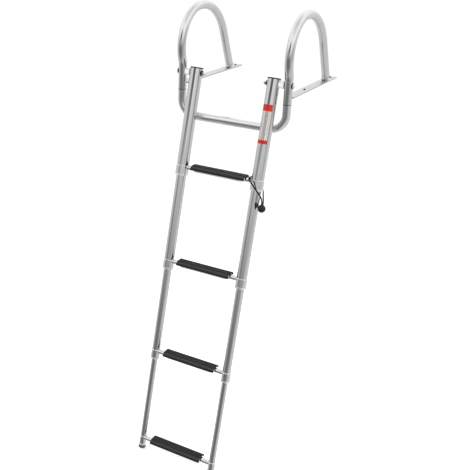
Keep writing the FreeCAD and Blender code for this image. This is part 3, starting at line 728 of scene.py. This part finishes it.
def bumped(tree, height, shader, strength, distance=0.0002):
    node = add(tree, "ShaderNodeBump")
    node.inputs["Strength"].default_value = strength
    node.inputs["Distance"].default_value = distance
    tree.links.new(height, node.inputs["Height"])
    tree.links.new(node.outputs["Normal"], shader.inputs["Normal"])


# %% [markdown]
# ## Polished stainless steel
#
# The tubes are bright drawn stainless. Its look comes almost only from what it
# reflects, so the colour is a plain light grey and the care goes into the
# roughness: low, with faint lines that run along each tube and with soft hand
# marks. One function makes the finish for each direction of tube.

# %% Steel
def steel(name, tone, rough, along, rotation=(0, 0, 0), scale=900.0, strength=0.05):
    mat, tree, shader, place = new_material(name, (tone, tone, tone * 1.01), rough, 1.0)
    lines = use_group(tree, lines_group, turned(tree, place, rotation), Scale=scale, Along=along)
    marks = use_group(tree, marks_group, place, Scale=9.0)
    dark, light = tone * 0.94, tone * 1.04
    two_tones(tree, lines.outputs["Mask"], (dark, dark, tone * 0.95),
              (light, light, tone * 1.045), shader)
    line_rough = between(tree, lines.outputs["Mask"], rough * 0.8, rough * 1.15)
    mark_rough = between(tree, marks.outputs["Mask"], -0.02, 0.05, 0.15, 0.4)
    both = math_node(tree, "ADD", line_rough, mark_rough, clamp=True)
    tree.links.new(both, shader.inputs["Roughness"])
    bumped(tree, lines.outputs["Height"], shader, strength)
    return mat


TONE = 0.62
steel_stile = steel("stile_steel", TONE, 0.09, (1, 1, 0.003), (LEAN, 0, 0), strength=0.03)
steel_rail = steel("handrail_steel", TONE, 0.2, (0.6, 0.6, 0.25), scale=500.0, strength=0.02)
steel_cross = steel("cross_tube_steel", TONE * 1.12, 0.24, (0.003, 1, 1), strength=0.02)
steel_step = steel("step_steel", TONE * 1.06, 0.1, (0.01, 1, 1), scale=700.0, strength=0.02)
steel_strip = steel("deck_strip_steel", TONE * 0.92, 0.32, (1, 0.02, 1), scale=700.0, strength=0.05)
steel_bolt = steel("bolt_steel", 0.74, 0.14, (1, 0.6, 0.6), scale=1200.0)
# The rim steel is a brighter copy of the tube steel: a painted highlight on each rim.
rim_highlight_steel = steel("rim_highlight_steel", 0.9, 0.1, (1, 1, 1), scale=700.0, strength=0.02)
print("steel tone", TONE)

# %% [markdown]
# A weld bead isn't drawn or polished like the tube: it is duller, a little
# rippled, and lighter and darker in small spots. One noise does all three.

# %% Weld metal
weld_metal, tree, shader, place = new_material("weld_metal", (0.66, 0.66, 0.66), 0.26, 1.0)
beads = add(tree, "ShaderNodeTexNoise")
beads.inputs["Scale"].default_value = 420.0
beads.inputs["Detail"].default_value = 1.0
tree.links.new(place, beads.inputs["Vector"])
two_tones(tree, beads.outputs["Fac"], (0.56, 0.56, 0.57), (0.72, 0.72, 0.71), shader)
tree.links.new(between(tree, beads.outputs["Fac"], 0.2, 0.38), shader.inputs["Roughness"])
bumped(tree, beads.outputs["Fac"], shader, 0.5, 0.0006)
print("weld metal ready")

# %% [markdown]
# ## Plastics and rubber
#
# The treads are black plastic with a dull, slightly grainy skin that stops a
# wet foot from slipping. The caps and feet are black too, the spacers at the
# pivots white nylon. They share the moulded grain and differ in tone and gloss.

# %% Plastics
def moulded(name, dark, light, rough, scale=1600.0, strength=0.25, distance=0.0002, shine=0.5):
    mat, tree, shader, place = new_material(name, light, rough, shine=shine)
    grain = use_group(tree, grain_group, place, Scale=scale)
    two_tones(tree, grain.outputs["Mask"], dark, light, shader)
    gloss = between(tree, grain.outputs["Mask"], rough - 0.06, rough + 0.06)
    tree.links.new(gloss, shader.inputs["Roughness"])
    bumped(tree, grain.outputs["Height"], shader, strength, distance)
    return mat


cap_plastic = moulded("cap_plastic", (0.004,) * 3, (0.009,) * 3, 0.45, shine=0.15)
foot_rubber = moulded("foot_rubber", (0.05, 0.05, 0.052), (0.085, 0.085, 0.088), 0.7, 900.0, 0.5)
white_nylon = moulded("white_nylon", (0.70,) * 3, (0.73,) * 3, 0.4, strength=0.06)
ball_plastic = moulded("ball_plastic", (0.006,) * 3, (0.011,) * 3, 0.15, 700.0, 0.06, shine=0.3)
# Black for the painted shade pieces: the joint rings, the washers and the hole plugs.
painted_shade_black = moulded("painted_shade_black", (0.010,) * 3, (0.02,) * 3, 0.6, 900.0, 0.2, shine=0.2)
print("caps, feet, nylon, ball and seals ready")

# %% [markdown]
# The treads have fine ribs that run from end to end. Their crests are rubbed
# paler than the grooves. On top they are painted paler still as painted light,
# and the sides are painted darker as painted shade. The ribs are waves across the tread: the
# distance inboard of the pivot is worked out from the coordinates with one dot product, so the same
# material fits all four treads. The direction of the surface, from the Geometry
# node, tells the top from the sides for the painted light and shade.

# %% Treads
RIB_PITCH = 0.0062
# Grooves and shaded sides take the first colour. Rubbed crests on the lit top take the second,
# which is partly wear and partly painted light.
GROOVE_AND_SHADE_RGB, LIT_CREST_RGB = (0.007, 0.007, 0.008), (0.052, 0.052, 0.054)
tread_plastic, tree, shader, place = new_material(
    "tread_plastic", (0.03, 0.03, 0.032), 0.5, shine=0.2)
grain = use_group(tree, grain_group, place, Scale=1500.0)
across = add(tree, "ShaderNodeVectorMath", operation="DOT_PRODUCT")
tree.links.new(place, across.inputs[0])
across.inputs[1].default_value = INBOARD
inboard_of_pivot = math_node(tree, "SUBTRACT", across.outputs["Value"], PIVOT.dot(INBOARD))
wave = math_node(tree, "MULTIPLY", inboard_of_pivot, 2 * math.pi / RIB_PITCH)
ribs = math_node(tree, "SINE", wave, 0.0)
facing = add(tree, "ShaderNodeSeparateXYZ")
tree.links.new(add(tree, "ShaderNodeNewGeometry").outputs["Normal"], facing.inputs[0])
# Painted light: the top of each tread is painted paler than its sides, which stay dark as painted
# shade.
painted_top_light = between(tree, facing.outputs[2], 0.0, 1.0, 0.1, 0.75)
crests = between(tree, ribs, 0.35, 1.0, -0.6, 0.9)
patchy = between(tree, grain.outputs["Mask"], 0.75, 1.0)
rubbed_and_lit = math_node(tree, "MULTIPLY", crests, math_node(tree, "MULTIPLY", painted_top_light, patchy))
two_tones(tree, between(tree, rubbed_and_lit, 0.3, 0.7, 0.0, 1.0), GROOVE_AND_SHADE_RGB, LIT_CREST_RGB, shader)
tree.links.new(between(tree, grain.outputs["Mask"], 0.44, 0.56), shader.inputs["Roughness"])
relief = math_node(tree, "ADD", grain.outputs["Height"], math_node(tree, "MULTIPLY", ribs, 0.8))
bumped(tree, relief, shader, 0.5, 0.0005)
print("ribs every", RIB_PITCH * 1000, "mm")

# %% [markdown]
# ## Braided cord
#
# The cord's rubber core is covered with a tight black braid. A curve carries
# its own surface coordinates: one runs along the cord and one round it. Two
# crossing sets of waves on them give the braid.

# %% Braid
BRAID_PITCH, STRANDS_ROUND = 0.0032, 6
braid, tree, shader, place = new_material("cord_braid", (0.006, 0.006, 0.006), 0.7, shine=0.05)
surface = add(tree, "ShaderNodeTexCoord").outputs["UV"]
parts = add(tree, "ShaderNodeSeparateXYZ")
tree.links.new(surface, parts.inputs[0])
crossings = CORD_LENGTH / BRAID_PITCH
strands = []
for hand in (1, -1):
    run = math_node(tree, "MULTIPLY", parts.outputs[0], crossings * 2 * math.pi)
    turn = math_node(tree, "MULTIPLY", parts.outputs[1], hand * STRANDS_ROUND * 2 * math.pi)
    strands.append(math_node(tree, "SINE", math_node(tree, "ADD", run, turn), 0.0))
weave = math_node(tree, "MULTIPLY", strands[0], strands[1])
two_tones(tree, between(tree, weave, 0, 1, -1, 1), (0.002,) * 3, (0.009, 0.009, 0.0095), shader)
tree.links.new(between(tree, weave, 0.75, 0.55, -1, 1), shader.inputs["Roughness"])
bumped(tree, weave, shader, 0.6, 0.0003)
print("braid crossings", round(crossings))

# %% [markdown]
# ## Sticker print
#
# The two bands are printed in a flat signal red on a clear film. The film is
# thin and a little cloudy, so the steel shows through it: its Alpha follows
# fine streaks along the stile.

# %% Sticker finishes
band_red, tree, shader, place = new_material("band_red", (0.52, 0.03, 0.018), 0.25, 0.35, shine=0.3)
grain = use_group(tree, grain_group, place, Scale=900.0)
two_tones(tree, grain.outputs["Mask"], (0.46, 0.022, 0.014), (0.58, 0.042, 0.026), shader)
tree.links.new(between(tree, grain.outputs["Mask"], 0.16, 0.24), shader.inputs["Roughness"])
bumped(tree, grain.outputs["Height"], shader, 0.02)

clear_film, tree, shader, place = new_material("clear_film", (0.72, 0.70, 0.68), 0.28, 0.25)
grain = use_group(tree, grain_group, place, Scale=900.0)
along_stile = turned(tree, place, (LEAN, 0, 0))
streaks = use_group(tree, lines_group, along_stile, Scale=1500.0, Along=(1, 1, 0.004))
two_tones(tree, streaks.outputs["Mask"], (0.56, 0.42, 0.34), (0.92, 0.91, 0.90), shader)
tree.links.new(between(tree, streaks.outputs["Mask"], 0.15, 0.6), shader.inputs["Alpha"])
tree.links.new(between(tree, grain.outputs["Mask"], 0.22, 0.36), shader.inputs["Roughness"])
bumped(tree, grain.outputs["Height"], shader, 0.04)
print("sticker finishes ready")

# %% [markdown]
# ## Finishes on the CAD pieces
#
# Each CAD node keeps its shape and place and only gets its material. The
# node's name says what it is, so the first words of the name pick the finish.

# %% Give each node its finish
FINISHES = [
    ("stile", steel_stile), ("handrail", steel_rail), ("cross_bar", steel_cross),
    ("step", steel_step), ("deck_bar", steel_strip), ("rear_foot", steel_strip),
    ("pivot_bolt", steel_bolt), ("pivot_nut", steel_bolt), ("pivot_spacer", white_nylon),
    ("guide_ring", white_nylon), ("top_cap", cap_plastic), ("tread", tread_plastic),
    ("foot", foot_rubber),
]
for name, node in frame["nodes"].items():
    for start, finish in FINISHES:
        if name.startswith(start):
            for slot in node.material_slots:
                slot.material = finish
            break
print(len(frame["nodes"]), "nodes finished")

# %% [markdown]
# The new pieces get their finish and the body they move with. The cord's
# smooth line and the ball take the place of their CAD solids.

# %% Finish and attach the new pieces
NEW_PIECES = (
    [(cord, braid, "section_1", "cord_black"), (ball, ball_plastic, "section_1", "ball_black"),
     (sticker, clear_film, "section_1", "polished_steel")]
    + [(band, band_red, "section_1", "polished_steel") for band in red_bands]
    + [(weld, weld_metal, "section_%d" % n, "polished_steel") for (n, _), weld in welds.items()]
    + [(rim, rim_highlight_steel, "section_%d" % n, "polished_steel") for (n, _, _), rim in rims.items()]
    + [(tail, ball_plastic, "section_1", "cord_black")]
    # The joint rings, washers and plugs are black painted shade and stay with the handrail frame.
    + [(shade_piece, painted_shade_black, "handrail_frame", "black_rubber")
       for shade_piece in joint_shade_rings + foot_shade_rings + hole_shades + rail_shade_rings]
    + [(dark_ring, painted_shade_black, "section_1", "black_rubber") for dark_ring in stile_shade_rings]
    + [(bolt, steel_bolt, "handrail_frame", "bolt_steel") for bolt in foot_bolts])
for piece, finish, body, slot_name in NEW_PIECES:
    piece.data.materials.clear()
    piece.data.materials.append(finish)
    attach(piece, body)
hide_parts("bungee_cord")
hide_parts("bungee_ball")
print(len(NEW_PIECES), "new pieces")

# %% [markdown]
# ## Floor, world and lamps
#
# The photograph shows the ladder cut out on white. A pale floor below its feet
# and a white world give that ground. Polished tube needs something to reflect,
# or it turns into flat grey: studios hang dark cloths between their soft
# lights, and the tubes show them as dark lines from end to end. Here the world
# does the same for reflections: each cloth is a soft patch at a bearing and a
# height, chosen so that its line falls where the photograph has one.

# %% Floor
FLOOR_SIZE, FLOOR_GAP = 12.0, 0.004
FLOOR_GLOW = 0.5
nothing_selected()
floor_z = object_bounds()[0][2] - FLOOR_GAP
bpy.ops.mesh.primitive_plane_add(size=FLOOR_SIZE, location=(PIVOT.x, PIVOT.y, floor_z))
floor = bpy.context.active_object
floor.name = "floor"
floor.visible_glossy = False
pale, tree, shader, place = new_material("pale_floor", (0.96, 0.96, 0.96), 0.9)
cloud = add(tree, "ShaderNodeTexNoise")
cloud.inputs["Scale"].default_value = 2.0
tree.links.new(place, cloud.inputs["Vector"])
two_tones(tree, cloud.outputs["Fac"], (0.955,) * 3, (0.965,) * 3, shader)
shader.inputs["Emission Color"].default_value = (1, 1, 1, 1)
shader.inputs["Emission Strength"].default_value = FLOOR_GLOW
floor.data.materials.append(pale)
print("floor at", round(floor_z, 4))

# %% Directions in the studio
world = bpy.data.worlds.new("studio")
bpy.context.scene.world = world
world.use_nodes = True
tree = world.node_tree
background = tree.nodes["Background"]
direction = add(tree, "ShaderNodeTexCoord").outputs["Generated"]
parts = add(tree, "ShaderNodeSeparateXYZ")
tree.links.new(direction, parts.inputs[0])
towards_front = math_node(tree, "MULTIPLY", parts.outputs[1], -1.0)
bearing = math_node(tree, "ARCTAN2", parts.outputs[0], towards_front)
height = math_node(tree, "ARCSINE", parts.outputs[2], 0.0)
print("world", world.name)


# %% Cloth helpers
def fade(value, centre_deg, half_deg, core=0.2):
    """1 in the core, a share of the half width, falling softly to 0 at the half width."""
    away = math_node(tree, "SUBTRACT", value, math.radians(centre_deg))
    off = math_node(tree, "ABSOLUTE", away, 0.0)
    node = add(tree, "ShaderNodeMapRange", interpolation_type="SMOOTHSTEP")
    tree.links.new(off, node.inputs["Value"])
    node.inputs["From Min"].default_value = math.radians(half_deg * core)
    node.inputs["From Max"].default_value = math.radians(half_deg)
    node.inputs["To Min"].default_value = 1.0
    node.inputs["To Max"].default_value = 0.0
    return node.outputs[0]


def cloth(bearing_deg, half_width, height_deg, half_height, depth, core_high=0.2, core_wide=0.2):
    """A hung cloth: a soft patch that takes the given share of the light away."""
    patch = math_node(tree, "MULTIPLY", fade(bearing, bearing_deg, half_width, core_wide),
                      fade(height, height_deg, half_height, core_high))
    return math_node(tree, "SUBTRACT", 1.0, math_node(tree, "MULTIPLY", patch, depth))


# %% Light from the floor to the ceiling
# floor at 0, horizon at 0.5, ceiling at 1, and how bright each height is
TIERS = [(0.0, 0.85), (0.15, 0.84), (0.3, 0.86), (0.44, 0.9), (0.535, 0.96), (0.62, 1.12),
         (0.71, 1.32), (0.79, 1.4), (0.86, 1.38), (0.94, 1.1), (1.0, 0.95)]
BRIGHTEST = 1.4
sky = add(tree, "ShaderNodeValToRGB")
halved = math_node(tree, "MULTIPLY", parts.outputs[2], 0.5)
tree.links.new(math_node(tree, "ADD", halved, 0.5), sky.inputs["Fac"])
while len(sky.color_ramp.elements) < len(TIERS):
    sky.color_ramp.elements.new(0.5)
for element, (position, value) in zip(sky.color_ramp.elements, TIERS):
    element.position = position
    element.color = (value / BRIGHTEST,) * 3 + (1,)
reflected = math_node(tree, "MULTIPLY", sky.outputs["Color"], BRIGHTEST)
print("tiers of light", len(TIERS))

# %% Cloths
# bearing, half width, height and half height in degrees, share of the light that
# is taken away, and for some the shares of height and width that are evenly dark
CLOTHS = [(0, 93, -15, 30, 0.75), (-24, 26, 8, 15, 0.32), (-24, 9, 8, 22, 0.42),
          (94, 36, 5, 20, 0.3), (84, 10, 1, 24, 0.3), (-4, 26, 24, 19, 0.88, 0.45, 0.4),
          (-10, 40, -48, 26, 0.6, 0.5, 0.3)]
for hung in CLOTHS:
    reflected = math_node(tree, "MULTIPLY", reflected, cloth(*hung))
print("cloths", len(CLOTHS))

# %% [markdown]
# The Light Path node tells what a ray is for. The camera gets plain white, a
# reflection gets the cloths, and the light that falls on the pieces is even and
# a little weaker.

# %% What each ray gets
AMBIENT = 0.55
path = add(tree, "ShaderNodeLightPath")
seen = math_node(tree, "MAXIMUM", path.outputs["Is Camera Ray"],
                 path.outputs["Is Transmission Ray"])
glossy = path.outputs["Is Glossy Ray"]
unseen = math_node(tree, "MULTIPLY", math_node(tree, "SUBTRACT", 1.0, seen), AMBIENT)
plain = math_node(tree, "ADD", seen, unseen)
in_tubes = math_node(tree, "MULTIPLY", glossy, reflected)
elsewhere = math_node(tree, "MULTIPLY", math_node(tree, "SUBTRACT", 1.0, glossy), plain)
tree.links.new(math_node(tree, "ADD", in_tubes, elsewhere), background.inputs["Strength"])
background.inputs["Color"].default_value = (1, 1, 1, 1)
print("even light", AMBIENT)

# %% Lamps
LAMPS = [("key_lamp", (-1.6, -2.4, 2.6), 1.6, 70), ("fill_lamp", (2.6, -1.2, 1.2), 1.8, 25)]
LIT_HEIGHT = -0.45


def soft_lamp(name, place, looks_at, size, power):
    data = bpy.data.lights.new(name, "AREA")
    data.shape = "DISK"
    data.size = size
    data.energy = power
    lamp = bpy.data.objects.new(name, data)
    bpy.context.scene.collection.objects.link(lamp)
    lamp.location = place
    lamp.rotation_mode = "QUATERNION"
    lamp.rotation_quaternion = (Vector(place) - Vector(looks_at)).to_track_quat("Z", "Y")
    lamp.visible_glossy = False


centre = Vector((PIVOT.x, PIVOT.y, LIT_HEIGHT))
for name, offset, size, power in LAMPS:
    soft_lamp(name, centre + Vector(offset), centre, size, power)
bpy.context.scene.view_settings.view_transform = "Standard"
print(len(LAMPS), "lamps")
